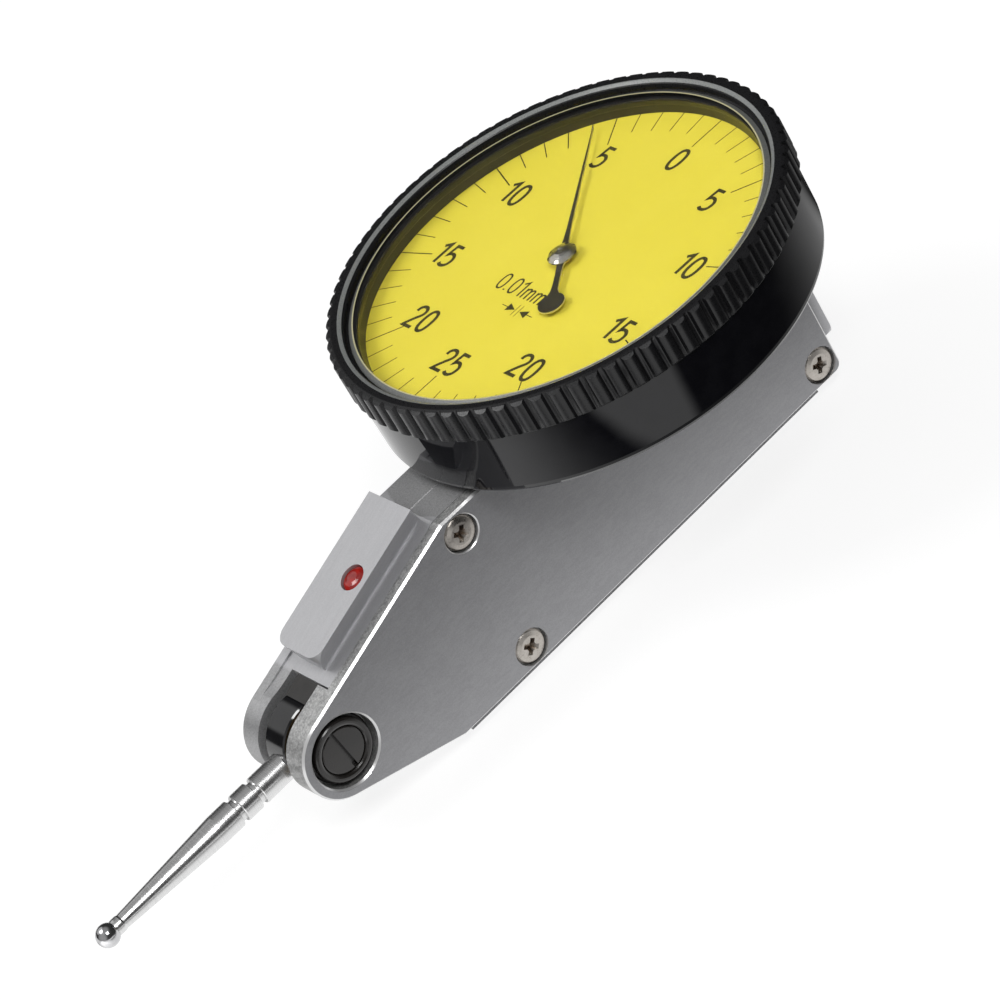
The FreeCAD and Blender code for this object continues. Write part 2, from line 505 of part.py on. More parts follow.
def revolve_stylus(points):
    """Solid of revolution about the stylus axis from (distance from the ball centre, radius) points."""
    w = Part.makePolygon([V(d, r, 0) for d, r in points] + [V(points[0][0], points[0][1], 0)])
    s = Part.Face(w).revolve(V(0, 0, 0), V(1, 0, 0), 360)
    s.translate(V(PIVOT_X - STYLUS_L, 0, PIVOT_Z))
    return s


STY_END = STYLUS_L - SHOULDER
stylus = revolve_stylus([
    (0.55, 0), (0.55, 0.68), (0.98, 0.72), (1.35, 0.72), (1.52, 0.66), (11.9, 1.25), (13.70, 1.25), (13.78, 1.18), (13.78, 0.98), (14.24, 0.98),
    (14.24, 1.18), (14.32, 1.25), (15.74, 1.25), (15.82, 1.18), (15.82, 0.98), (16.28, 0.98), (16.28, 1.18), (16.36, 1.25),
    (STY_END, 1.25), (STY_END, 0.80), (STYLUS_L - 1.35, 0.80), (STYLUS_L - 1.15, 0.60), (STYLUS_L - 1.15, 0)])
ball = Part.makeSphere(1.0, V(PIVOT_X - STYLUS_L, 0, PIVOT_Z))
stylus = stylus.cut(ball)
export("stylus", solid(stylus))
export("contact_ball", ball)

# ------------------------------------------------------------------ crown arbor: arbor, first pinion, crown wheel, hairspring and collet
def toothed(z, m, rt, rr, half_p, half_t, half_r, phase_deg):
    """Outline points of a small pinion about (0, 0), tooth 0 centred at phase_deg."""
    rp = m * z / 2.0
    pts = []
    for k in range(z):
        a = math.radians(phase_deg) + k * 2 * math.pi / z
        for r, off in ((rr, -half_r / rr), (rp, -half_p / rp), (rt, -half_t / rt), (rt, half_t / rt), (rp, half_p / rp), (rr, half_r / rr)):
            pts.append((r * math.cos(a + off), r * math.sin(a + off)))
    return pts


arbor = revolve_y([(0, -2.86), (0.15, -2.86), (0.15, -2.18), (0.35, -2.18), (0.35, 2.86), (0.15, 2.86), (0.15, 3.28), (0, 3.28)], 0, CROWN_AXIS_Z)
export("crown_arbor", arbor)
p1 = toothed(PINION1_TEETH, M1, 0.895, 0.555, math.pi * M1 / 4 * 0.86, 0.045, 0.125, 180.0 + 180.0 / PINION1_TEETH)
pin1 = prism_xz([(x, CROWN_AXIS_Z + z) for x, z in p1], -2.08, -1.17).cut(cyl_y(0.35, -3, 0, 0, CROWN_AXIS_Z))
export("first_pinion", solid(pin1))

CROWN_R = M2 * CROWN_TEETH / 2.0
R2 = M2 * PINION2_TEETH / 2.0
root_y = R2 + 1.22 * M2
tip_y = R2 - 0.90 * M2
crown = cyl_y(CROWN_R + 0.34, root_y, root_y + 0.42, 0, CROWN_AXIS_Z)
windows = []
for k in range(5):
    a0 = math.radians(72 * k + 10)
    a1 = math.radians(72 * k + 62)
    pts = [(1.35 * math.cos(a0 + 0.12), 1.35 * math.sin(a0 + 0.12))]
    for i in range(7):
        a = a0 + (a1 - a0) * i / 6.0
        pts.append((3.30 * math.cos(a), 3.30 * math.sin(a)))
    pts.append((1.35 * math.cos(a1 - 0.12), 1.35 * math.sin(a1 - 0.12)))
    windows.append(prism_xz([(x, CROWN_AXIS_Z + z) for x, z in pts], 0, 3))
hub_c = cyl_y(0.85, root_y, root_y + 0.75, 0, CROWN_AXIS_Z)
crown = fuse(crown.cut(Part.makeCompound(windows)), hub_c)
tooth_list = []
for k in range(CROWN_TEETH):
    wp = math.pi * M2 / 2 * 0.84
    w_tip, w_root = wp - 0.055, wp + 0.055
    # trapezoid in the plane of tangent and Y at the inner and outer radius, lofted along the radius
    secs = []
    for rr in (CROWN_R - 0.28, CROWN_R + 0.30):
        f = rr / CROWN_R
        pts = [V(-w_root * f / 2, root_y + 0.03, rr), V(w_root * f / 2, root_y + 0.03, rr),
               V(w_tip * f / 2, tip_y, rr), V(-w_tip * f / 2, tip_y, rr)]
        secs.append(Part.makePolygon(pts + [pts[0]]))
    t = Part.makeLoft(secs, True, True)
    t.rotate(V(0, 0, 0), V(0, 1, 0), 360.0 * k / CROWN_TEETH)
    t.translate(V(0, 0, CROWN_AXIS_Z))
    tooth_list.append(t)
crown = crown.multiFuse(tooth_list)
crown = solid(crown).cut(cyl_y(0.35, 0, 3, 0, CROWN_AXIS_Z))
export("crown_wheel", solid(crown))

# hairspring: flat spiral in the plane of X and Z, with its collet and stud
HS_Y0, HS_Y1 = 1.95, 2.25
HS_R0, HS_TURNS, HS_PITCH, HS_T = 0.78, 5.5, 0.38, 0.05
inner_pts, outer_pts = [], []
steps = int(HS_TURNS * 20)
for i in range(steps + 1):
    a = 2 * math.pi * i / 20.0
    r = HS_R0 + HS_PITCH * a / (2 * math.pi)
    inner_pts.append(V((r - HS_T / 2) * math.cos(a), HS_Y0, CROWN_AXIS_Z + (r - HS_T / 2) * math.sin(a)))
    outer_pts.append(V((r + HS_T / 2) * math.cos(a), HS_Y0, CROWN_AXIS_Z + (r + HS_T / 2) * math.sin(a)))
ci, co = Part.BSplineCurve(), Part.BSplineCurve()
ci.interpolate(inner_pts)
co.interpolate(outer_pts)
w = Part.Wire([ci.toShape(), Part.LineSegment(inner_pts[-1], outer_pts[-1]).toShape(), co.toShape(),
               Part.LineSegment(outer_pts[0], inner_pts[0]).toShape()])
hairspring = Part.Face(w).extrude(V(0, HS_Y1 - HS_Y0, 0))
export("hairspring", hairspring)
collet = cyl_y(0.745, 1.88, 2.42, 0, CROWN_AXIS_Z).cut(cyl_y(0.35, 1, 3, 0, CROWN_AXIS_Z))
export("hairspring_collet", collet)
end_a = 2 * math.pi * HS_TURNS
end_r = HS_R0 + HS_PITCH * HS_TURNS
stud = cyl_y(0.42, 1.80, FAR_WALL_Y, (end_r + 0.18) * math.cos(end_a), CROWN_AXIS_Z + (end_r + 0.18) * math.sin(end_a) - 0.38)
stud = stud.cut(hairspring)
export("hairspring_stud", solid(stud))

# ------------------------------------------------------------------ centre arbor with its pinion, pointer boss, pointer and cap
c_arbor = revolve_z([(0, -13.42), (0.10, -13.42), (0.10, -12.98), (0.30, -12.96), (0.30, -3.2), (0.28, -3.1), (0.28, 0.98), (0.20, 1.06), (0, 1.06)])
export("centre_arbor", c_arbor)
p2 = toothed(PINION2_TEETH, M2, 0.798, 0.585, math.pi * M2 / 4 * 0.84, 0.028, 0.078, 90.0 + 180.0 / PINION2_TEETH)
pin2 = prism_xy(p2, -12.94, -12.00).cut(cyl_z(0.30, -14, -11))
export("centre_pinion", solid(pin2))
boss = revolve_z([(0.28, 0.08), (0.62, 0.08), (0.62, 0.36), (0.54, 0.45), (0.28, 0.45)])
export("pointer_boss", boss)


def pointer_outline():
    side = [(POINTER_TIP, 0.035), (12.0, 0.085), (6.0, 0.150), (3.2, 0.190), (2.0, 0.260), (1.25, 0.340), (0.80, 0.46)]
    tail = [(-0.80, 0.46), (-1.30, 0.300), (-2.4, 0.255), (-3.6, 0.265), (-4.4, 0.32), (-4.85, 0.50)]
    c, r = -5.90, 1.16
    start = math.atan2(0.50, -4.85 - c)
    ring = []
    n = 14
    for i in range(1, n):
        a = start + (math.pi - start) * i / n
        ring.append((c + r * math.cos(a), r * math.sin(a)))
    upper = side + tail + ring + [(c - r, 0.0)]
    lower = [(x, -y) for x, y in reversed(side + tail + ring)]
    return upper + lower


pointer = prism_xy(pointer_outline(), 0.45, 0.60)
pointer = pointer.cut(cyl_z(0.28, 0, 2))
pointer.rotate(V(0, 0, 0), V(0, 0, 1), POINTER_DEG)
export("pointer", solid(pointer))
cap = revolve_z([(0.28, 0.60), (1.22, 0.60), (1.30, 0.67), (1.26, 0.76), (1.08, 0.90), (0.80, 1.01), (0.50, 1.08), (0.34, 1.10), (0.28, 1.10)])
export("pointer_cap", cap)

# ------------------------------------------------------------------ dial base (fixed), centre bush, its screws, o-ring, retaining ring
base = revolve_z([(0, -7.10), (16.9, -7.10), (16.9, -6.60), (18.42, -6.60), (18.42, -5.00), (17.90, -5.00), (17.90, -4.60),
                  (18.42, -4.60), (18.42, -3.66), (17.72, -3.66), (17.72, -2.74), (18.42, -2.74), (18.42, -2.15), (18.27, -2.00),
                  (16.6, -2.00), (16.6, -5.50), (2.2, -5.50), (2.2, -1.30), (0, -1.30)])
ribs = []
for k in range(6):
    rb = box(2.0, 16.8, -0.45, 0.45, -5.6, -4.6)
    rb.rotate(V(0, 0, 0), V(0, 0, 1), 60 * k + 30)
    ribs.append(rb)
base = fuse(base, *ribs)
b_cut = [cyl_z(0.80, -8, 0), cyl_z(1.00, -2.60, 0)]
for x, y in BASE_SCREW_AT:
    b_cut.append(cyl_z(0.85, -8, -5, x, y))
    b_cut.append(cyl_z(1.60, -5.5, -4, x, y))
base = cut(base, *b_cut)
export("dial_base", solid(base))
bush = cyl_z(1.00, -2.60, -1.25).cut(cyl_z(0.31, -3, 0))
export("centre_bush", bush)
bsc = []
for i, (x, y) in enumerate(BASE_SCREW_AT):
    s = fuse(cyl_z(1.50, -5.50, -4.70, x, y), cyl_z(0.80, -9.2, -5.50, x, y))
    sl = box(-2, 2, -0.17, 0.17, -5.05, -4)
    sl.rotate(V(0, 0, 0), V(0, 0, 1), 20 + 55 * i)
    sl.translate(V(x, y, 0))
    bsc.append(solid(s.cut(sl)))
export("base_screws", *bsc)
oring = Part.makeTorus(18.11, 0.365, V(0, 0, -3.20), V(0, 0, 1))
export("bezel_friction_ring", oring)
ret = revolve_z([(17.93, -4.95), (18.80, -4.95), (18.80, -4.65), (17.93, -4.65)])
gap = prism_xy([(0, 0), (30, -3.5), (30, 3.5)], -6, -4)
gap.rotate(V(0, 0, 0), V(0, 0, 1), 90)
export("retaining_ring", solid(ret.cut(gap)))

# ------------------------------------------------------------------ bezel with knurl, crystal, gasket, dial and dial clamp ring
core = revolve_z([
    (17.85, -1.50), (17.85, 0.00), (DIAL_SIGHT_R, 0.00), (17.74, 1.18), (18.34, 1.18), (18.34, 1.62), (18.54, 1.66), (18.54, 2.24), (18.62, 2.32),
    (18.86, 2.46), (18.96, BEZEL_TOP), (19.35, BEZEL_TOP), (SKIRT_R, 2.25), (SKIRT_R, KNURL_Z0), (SKIRT_R - 0.04, SKIRT_BOTTOM + 0.75),
    (SKIRT_R - 0.10, SKIRT_BOTTOM + 0.46), (SKIRT_R - 0.26, SKIRT_BOTTOM + 0.20), (SKIRT_R - 0.50, SKIRT_BOTTOM + 0.04), (SKIRT_R - 0.72, SKIRT_BOTTOM),
    (18.50, SKIRT_BOTTOM), (18.50, -5.05), (18.90, -5.05), (18.90, -4.55), (18.50, -4.55), (18.50, -1.50)])
# knurl: raised ridges with rounded crowns, divided by narrow grooves that run out at the skirt
pitch = 2 * math.pi / KNURLS
edges = []
groove_half = 0.115 * pitch
r_g = SKIRT_R + 0.02
for k in range(KNURLS):
    a0 = math.radians(KNURL_PHASE) + k * pitch
    q = lambda r, a: V(r * math.cos(a), r * math.sin(a), KNURL_Z0 - 0.2)
    g1 = a0 + groove_half
    g2 = a0 + pitch - groove_half
    s1 = g1 + 0.10 * pitch
    s2 = g2 - 0.10 * pitch
    edges.append(Part.Arc(q(r_g, a0 - groove_half), q(r_g - 0.03, a0), q(r_g, g1)).toShape())
    edges.append(Part.LineSegment(q(r_g, g1), q(BEZEL_R - 0.07, s1)).toShape())
    edges.append(Part.Arc(q(BEZEL_R - 0.07, s1), q(BEZEL_R + 0.05, a0 + pitch / 2), q(BEZEL_R - 0.07, s2)).toShape())
    edges.append(Part.LineSegment(q(BEZEL_R - 0.07, s2), q(r_g, g2)).toShape())
band = Part.Face(Part.Wire(edges)).extrude(V(0, 0, BEZEL_TOP - KNURL_Z0 + 0.4))
envelope = revolve_z([(19.0, KNURL_Z0), (SKIRT_R - 0.01, KNURL_Z0), (SKIRT_R + 0.22, KNURL_Z0 + 0.10), (BEZEL_R + 0.10, KNURL_Z0 + 0.42), (BEZEL_R + 0.10, BEZEL_TOP - 0.30),
                      (SKIRT_R + 0.16, BEZEL_TOP - 0.05), (19.48, BEZEL_TOP), (19.0, BEZEL_TOP)])
band = band.common(envelope)
bezel = core.fuse(band)
export("bezel", solid(bezel))

gasket = revolve_z([(17.80, 1.18), (18.28, 1.18), (18.28, CRYSTAL_Z0), (17.80, CRYSTAL_Z0)])
export("crystal_gasket", gasket)
crystal = revolve_z([(0, CRYSTAL_Z0), (CRYSTAL_R, CRYSTAL_Z0), (CRYSTAL_R, CRYSTAL_Z1 - 0.26), (CRYSTAL_R - 0.40, CRYSTAL_Z1), (0, CRYSTAL_Z1)])
export("crystal", crystal)
dial = revolve_z([(0.50, -0.40), (DIAL_R, -0.40), (DIAL_R, 0.0), (0.50, 0.0)])
export("dial", dial)
clamp = revolve_z([(16.9, -0.95), (17.82, -0.95), (17.82, -0.40), (16.9, -0.40)])
export("dial_clamp_ring", clamp)

# ------------------------------------------------------------------ return spring
export("return_spring", solid(leaf))
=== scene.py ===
import json
import math
import bpy
from mathutils import Matrix, Vector


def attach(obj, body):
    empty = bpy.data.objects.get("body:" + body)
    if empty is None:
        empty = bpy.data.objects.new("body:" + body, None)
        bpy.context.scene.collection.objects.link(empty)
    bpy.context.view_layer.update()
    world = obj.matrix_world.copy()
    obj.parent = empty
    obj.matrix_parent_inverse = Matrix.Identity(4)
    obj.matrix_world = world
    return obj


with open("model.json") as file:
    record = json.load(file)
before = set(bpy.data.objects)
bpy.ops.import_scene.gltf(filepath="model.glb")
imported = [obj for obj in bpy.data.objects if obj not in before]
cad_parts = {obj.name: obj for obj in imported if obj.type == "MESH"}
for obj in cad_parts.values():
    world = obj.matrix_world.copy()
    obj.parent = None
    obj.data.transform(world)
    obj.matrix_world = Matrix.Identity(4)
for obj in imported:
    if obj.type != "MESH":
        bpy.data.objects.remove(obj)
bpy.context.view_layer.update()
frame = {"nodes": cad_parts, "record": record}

MM = 0.001
# the dial face's centre in the row frame, and the stylus pivot
DIAL = Vector((8.0, 0.0, 24.9)) * MM
PIVOT = Vector((-30.85, 0.0, 8.37)) * MM
ALPHA = math.radians(17.5)


# ------------------------------------------------------------------ node helpers
class Graph:
    """Small wrapper that builds a material's node tree."""

    def __init__(self, name):
        self.mat = bpy.data.materials.new(name)
        self.mat.use_nodes = True
        self.nt = self.mat.node_tree
        self.nt.nodes.clear()
        self.out = self.nt.nodes.new("ShaderNodeOutputMaterial")
        self._obj = None

    def new(self, kind, **props):
        n = self.nt.nodes.new(kind)
        for k, v in props.items():
            setattr(n, k, v)
        return n

    def put(self, socket, value):
        if value is None:
            return
        if isinstance(value, bpy.types.NodeSocket):
            self.nt.links.new(value, socket)
        elif isinstance(value, (tuple, list)) and len(value) == 3 and len(getattr(socket, "default_value", (0,))) == 4:
            socket.default_value = (*value, 1.0)
        else:
            socket.default_value = value

    def pos(self):
        if self._obj is None:
            self._obj = self.new("ShaderNodeTexCoord").outputs["Object"]
        return self._obj

    def xyz(self, vec=None):
        n = self.new("ShaderNodeSeparateXYZ")
        self.put(n.inputs[0], vec if vec is not None else self.pos())
        return n.outputs[0], n.outputs[1], n.outputs[2]

    def math(self, op, a, b=None, c=None, clamp=False):
        n = self.new("ShaderNodeMath", operation=op, use_clamp=clamp)
        self.put(n.inputs[0], a)
        if b is not None:
            self.put(n.inputs[1], b)
        if c is not None:
            self.put(n.inputs[2], c)
        return n.outputs[0]

    def vmath(self, op, a, b=None):
        n = self.new("ShaderNodeVectorMath", operation=op)
        self.put(n.inputs[0], a)
        if b is not None:
            self.put(n.inputs[1], b)
        return n.outputs["Value"] if op in ("DOT_PRODUCT", "LENGTH") else n.outputs["Vector"]

    def ramp(self, x, lo, hi, a=0.0, b=1.0, smooth=True):
        n = self.new("ShaderNodeMapRange", interpolation_type="SMOOTHSTEP" if smooth else "LINEAR")
        self.put(n.inputs["Value"], x)
        n.inputs["From Min"].default_value = lo
        n.inputs["From Max"].default_value = hi
        n.inputs["To Min"].default_value = a
        n.inputs["To Max"].default_value = b
        return n.outputs[0]

    def mix(self, f, a, b):
        n = self.new("ShaderNodeMix", data_type="RGBA")
        self.put(n.inputs[0], f)
        self.put(n.inputs[6], a)
        self.put(n.inputs[7], b)
        return n.outputs[2]

    def fmix(self, f, a, b):
        n = self.new("ShaderNodeMix", data_type="FLOAT")
        self.put(n.inputs[0], f)
        self.put(n.inputs[2], a)
        self.put(n.inputs[3], b)
        return n.outputs[0]

    def scaled(self, sx, sy, sz, vec=None):
        n = self.new("ShaderNodeVectorMath", operation="MULTIPLY")
        self.put(n.inputs[0], vec if vec is not None else self.pos())
        n.inputs[1].default_value = (sx, sy, sz)
        return n.outputs[0]

    def noise(self, scale, detail=4.0, rough=0.55, vec=None, dist=0.0):
        n = self.new("ShaderNodeTexNoise")
        self.put(n.inputs["Vector"], vec if vec is not None else self.pos())
        n.inputs["Scale"].default_value = scale
        n.inputs["Detail"].default_value = detail
        n.inputs["Roughness"].default_value = rough
        n.inputs["Distortion"].default_value = dist
        return n.outputs[0]

    def voronoi(self, scale, vec=None, feature="F1", out="Distance"):
        n = self.new("ShaderNodeTexVoronoi", feature=feature)
        self.put(n.inputs["Vector"], vec if vec is not None else self.pos())
        n.inputs["Scale"].default_value = scale
        return n.outputs[out]

    def bump(self, height, distance, strength=1.0, normal=None):
        n = self.new("ShaderNodeBump")
        n.inputs["Strength"].default_value = strength
        n.inputs["Distance"].default_value = distance
        self.put(n.inputs["Height"], height)
        if normal is not None:
            self.put(n.inputs["Normal"], normal)
        return n.outputs[0]

    def shader(self, color, rough, metallic=0.0, normal=None, ior=1.5, coat=0.0, coat_rough=0.05, aniso=0.0, tangent=None, spec=0.5, sss=0.0, diffuse_rough=0.0):
        n = self.new("ShaderNodeBsdfPrincipled")
        self.put(n.inputs["Base Color"], color)
        self.put(n.inputs["Roughness"], rough)
        self.put(n.inputs["Metallic"], metallic)
        n.inputs["IOR"].default_value = ior
        n.inputs["Coat Weight"].default_value = coat
        n.inputs["Coat Roughness"].default_value = coat_rough
        n.inputs["Specular IOR Level"].default_value = spec
        n.inputs["Anisotropic"].default_value = aniso
        n.inputs["Diffuse Roughness"].default_value = diffuse_rough
        if tangent is not None:
            self.put(n.inputs["Tangent"], tangent)
        if normal is not None:
            self.put(n.inputs["Normal"], normal)
        return n

    def done(self, node):
        self.nt.links.new(node.outputs[0], self.out.inputs["Surface"])
        return self.mat


def tint(c, k):
    return tuple(min(1.0, x * k) for x in c)


def satin(name, color, rough=0.35, fine=0.00016, blotch=0.0030, amp=0.10, depth=0.0000012, metallic=1.0, stretch=(1, 1, 1), coat=0.0, spec=0.5):
    """Finely finished metal: a grain of the given size in metres, soft blotches and small changes of gloss."""
    g = Graph(name)
    v = g.scaled(*stretch)
    n1 = g.noise(1.0 / fine, 3.0, 0.6, v)
    n2 = g.noise(1.0 / blotch, 4.0, 0.6)
    k = g.math("ADD", g.math("MULTIPLY", n1, 0.6), g.math("MULTIPLY", n2, 0.4))
    col = g.mix(g.ramp(k, 0.30, 0.70), tint(color, 1 - amp), tint(color, 1 + amp))
    r = g.ramp(g.math("ADD", n2, g.math("MULTIPLY", n1, 0.35)), 0.35, 1.0, rough * 0.85, rough * 1.18)
    return g.done(g.shader(col, r, metallic, g.bump(n1, depth), coat=coat, spec=spec))


def turned(name, color, rough, axis, centre, pitch=0.00006, amp=0.12, metallic=1.0, depth=0.0000008):
    """Lathe-turned metal with rings about an axis (0, 1 or 2) through centre, or along it for a shaft."""
    g = Graph(name)
    p = g.vmath("SUBTRACT", g.pos(), tuple(centre))
    x, y, z = g.xyz(p)
    c = [x, y, z]
    along = c[axis]
    a, b = [c[i] for i in range(3) if i != axis]
    rad = g.math("SQRT", g.math("ADD", g.math("MULTIPLY", a, a), g.math("MULTIPLY", b, b)))
    comb = g.new("ShaderNodeCombineXYZ")
    g.put(comb.inputs[0], g.math("DIVIDE", along, pitch))
    g.put(comb.inputs[1], g.math("DIVIDE", rad, pitch))
    lines = g.noise(1.0, 2.0, 0.6, comb.outputs[0])
    cloud = g.noise(900.0, 3.0, 0.6)
    col = g.mix(g.ramp(lines, 0.3, 0.7), tint(color, 1 - amp), tint(color, 1 + amp))
    r = g.ramp(g.math("ADD", g.math("MULTIPLY", lines, 0.6), g.math("MULTIPLY", cloud, 0.4)), 0.3, 0.7, rough * 0.82, rough * 1.2)
    return g.done(g.shader(col, r, metallic, g.bump(lines, depth)))


# ------------------------------------------------------------------ materials
def mat_frame():
    g = Graph("cast_steel")
    x, y, z = g.xyz()
    px, pz = PIVOT.x, PIVOT.z
    dx = g.math("SUBTRACT", x, px)
    dz = g.math("SUBTRACT", z, pz)
    s = g.math("ADD", g.math("MULTIPLY", dx, math.cos(ALPHA)), g.math("MULTIPLY", dz, math.sin(ALPHA)))
    h = g.math("SUBTRACT", g.math("MULTIPLY", dz, math.cos(ALPHA)), g.math("MULTIPLY", dx, math.sin(ALPHA)))
    # machined zones: the front dovetail with its floor, the rear and the bottom dovetail
    wob = g.math("MULTIPLY", g.math("SUBTRACT", g.noise(900.0, 3.0), 0.5), 0.0006)
    curve = g.math("MULTIPLY", g.math("MULTIPLY", y, y), -60.0)
    edge = g.math("ADD", g.math("ADD", s, wob), curve)
    front = g.math("MULTIPLY", g.ramp(edge, 0.01835, 0.01855, 1.0, 0.0), g.math("MULTIPLY", g.ramp(h, 0.0037, 0.0039), g.ramp(s, 0.0030, 0.0034)))
    rear = g.ramp(x, 0.02225, 0.02240)
    low = g.ramp(z, 0.00210, 0.00222, 1.0, 0.0)
    machined = g.math("MAXIMUM", g.math("MAXIMUM", front, rear), low)
    far_face = g.ramp(y, 0.00415, 0.00430)
    # cast skin: mottle on two scales with pits
    m1 = g.noise(6400.0, 5.0, 0.66)
    m2 = g.noise(15000.0, 3.0, 0.6)
    pits = g.ramp(g.voronoi(9500.0), 0.05, 0.42)
    cast_h = g.math("ADD", g.math("MULTIPLY", m1, 0.75), g.math("MULTIPLY", m2, 0.35))
    cast_h = g.math("MULTIPLY", cast_h, g.math("ADD", g.math("MULTIPLY", pits, 0.25), 0.75))
    cast_c = g.mix(g.ramp(cast_h, 0.30, 0.72), (0.27, 0.27, 0.275), (0.47, 0.47, 0.475))
    # machined skin: fine speckle with faint cutter lines along the slope
    f1 = g.noise(8500.0, 4.0, 0.62)
    f2 = g.noise(1200.0, 2.0, 0.5, g.scaled(0.12, 3.0, 1.0))
    fine = g.math("ADD", g.math("MULTIPLY", f1, 0.72), g.math("MULTIPLY", f2, 0.28))
    mach_c = g.mix(g.ramp(fine, 0.30, 0.70), (0.49, 0.49, 0.505), (0.57, 0.57, 0.585))
    # satin side
    sat = g.noise(6500.0, 3.0, 0.6)
    sat_c = g.mix(g.ramp(sat, 0.3, 0.7), (0.33, 0.33, 0.335), (0.41, 0.41, 0.415))
    col = g.mix(machined, cast_c, mach_c)
    col = g.mix(far_face, col, sat_c)
    rough = g.fmix(machined, g.ramp(m1, 0.3, 0.7, 0.36, 0.50), g.ramp(f1, 0.3, 0.7, 0.36, 0.46))
    rough = g.fmix(far_face, rough, g.ramp(sat, 0.3, 0.7, 0.33, 0.42))
    height = g.fmix(g.math("MAXIMUM", machined, far_face), cast_h, g.math("MULTIPLY", fine, 0.16))
    return g.done(g.shader(col, rough, 0.55, g.bump(height, 0.0000036), spec=0.6))


def mat_cover():
    g = Graph("cover_satin")
    x, y, z = g.xyz()
    face = g.ramp(y, -0.00433, -0.004345)
    edge = g.ramp(y, -0.00415, -0.00418)
    n1 = g.noise(9500.0, 3.0, 0.6)
    n2 = g.noise(420.0, 3.0, 0.55)
    n3 = g.noise(3600.0, 3.0, 0.5, g.scaled(0.30, 1.0, 1.0))
    k = g.math("ADD", g.math("ADD", g.math("MULTIPLY", n1, 0.5), g.math("MULTIPLY", n2, 0.2)), g.math("MULTIPLY", n3, 0.3))
    sat = g.mix(g.ramp(k, 0.34, 0.66), (0.250, 0.250, 0.259), (0.305, 0.305, 0.315))
    m1 = g.noise(6000.0, 5.0, 0.68)
    m2 = g.noise(2200.0, 3.0, 0.6)
    mm = g.math("ADD", g.math("MULTIPLY", m1, 0.7), g.math("MULTIPLY", m2, 0.3))
    cast = g.mix(g.ramp(mm, 0.34, 0.66), (0.25, 0.25, 0.25), (0.58, 0.58, 0.575))
    # painted highlight: the chamfer along the cover's rim is coloured bright to stand for the light it catches
    bright = (0.72, 0.72, 0.72)
    col = g.mix(edge, cast, bright)
    col = g.mix(face, col, sat)
    r = g.fmix(edge, g.ramp(m1, 0.3, 0.7, 0.32, 0.46), 0.30)
    r = g.fmix(face, r, g.ramp(k, 0.3, 0.7, 0.34, 0.43))
    height = g.fmix(edge, g.math("MULTIPLY", mm, 0.9), g.math("MULTIPLY", n1, 0.12))
    return g.done(g.shader(col, r, 0.60, g.bump(height, 0.0000060), spec=0.6))


def mat_bezel():
    g = Graph("bezel_black")
    p = g.vmath("SUBTRACT", g.pos(), tuple(DIAL))
    x, y, z = g.xyz(p)
    rad = g.math("SQRT", g.math("ADD", g.math("MULTIPLY", x, x), g.math("MULTIPLY", y, y)))
    n1 = g.noise(9000.0, 3.0, 0.6)
    n2 = g.noise(600.0, 3.0, 0.6)
    knurl = g.ramp(z, -0.00078, -0.00066)
    # painted reflection: the bezel's top bevel is coloured grey to stand for the light it mirrors
    bevel = g.math("MULTIPLY", g.ramp(rad, 0.018615, 0.01863), g.math("MULTIPLY", g.ramp(rad, 0.01893, 0.01896, 1.0, 0.0), g.ramp(z, 0.00225, 0.00229)))
    # painted reflection: the black inner wall is coloured olive to stand for the yellow dial it mirrors
    dial_reflection_wall = g.math("MULTIPLY", g.ramp(rad, 0.01777, 0.01779, 1.0, 0.0), g.ramp(z, -0.0001, 0.0))
    col = g.mix(g.ramp(n2, 0.3, 0.7), (0.0035, 0.0035, 0.0050), (0.0060, 0.0060, 0.0078))
    col = g.mix(knurl, col, g.mix(g.ramp(n1, 0.3, 0.7), (0.0060, 0.0060, 0.0068), (0.0100, 0.0100, 0.0112)))
    col = g.mix(bevel, col, g.mix(g.ramp(n1, 0.3, 0.7), (0.20, 0.21, 0.205), (0.28, 0.29, 0.285)))
    col = g.mix(dial_reflection_wall, col, (0.020, 0.018, 0.008))
    gloss = g.ramp(n2, 0.3, 0.7, 0.035, 0.065)
    r = g.fmix(knurl, gloss, g.ramp(n1, 0.3, 0.7, 0.26, 0.36))
    r = g.fmix(dial_reflection_wall, r, 0.38)
    return g.done(g.shader(col, r, 0.0, g.bump(n1, 0.0000003), ior=1.50))


def mat_black(name, color=(0.012, 0.012, 0.013), rough=0.30, depth=0.000001, coat=0.0, metallic=0.0, ior=1.6):
    g = Graph(name)
    n1 = g.noise(6000.0, 4.0, 0.6)
    n2 = g.noise(700.0, 3.0, 0.6)
    col = g.mix(g.ramp(n2, 0.3, 0.7), tint(color, 0.75), tint(color, 1.35))
    r = g.ramp(g.math("ADD", g.math("MULTIPLY", n1, 0.5), g.math("MULTIPLY", n2, 0.5)), 0.3, 0.7, rough * 0.8, rough * 1.25)
    return g.done(g.shader(col, r, metallic, g.bump(n1, depth), ior=ior, coat=coat))


def mat_dial():
    g = Graph("dial_yellow")
    n1 = g.noise(9000.0, 3.0, 0.6)
    n2 = g.noise(260.0, 3.0, 0.5)
    col = g.mix(g.ramp(n2, 0.25, 0.75), (0.600, 0.512, 0.042), (0.620, 0.530, 0.048))
    r = g.ramp(n1, 0.3, 0.7, 0.50, 0.60)
    return g.done(g.shader(col, r, 0.0, g.bump(n1, 0.0000005), spec=0.25))


def mat_print():
    g = Graph("dial_print")
    n1 = g.noise(7000.0, 3.0, 0.6)
    col = g.mix(g.ramp(n1, 0.3, 0.7), (0.022, 0.018, 0.005), (0.040, 0.032, 0.006))
    return g.done(g.shader(col, 0.6, 0.0, g.bump(n1, 0.0000004), spec=0.2))


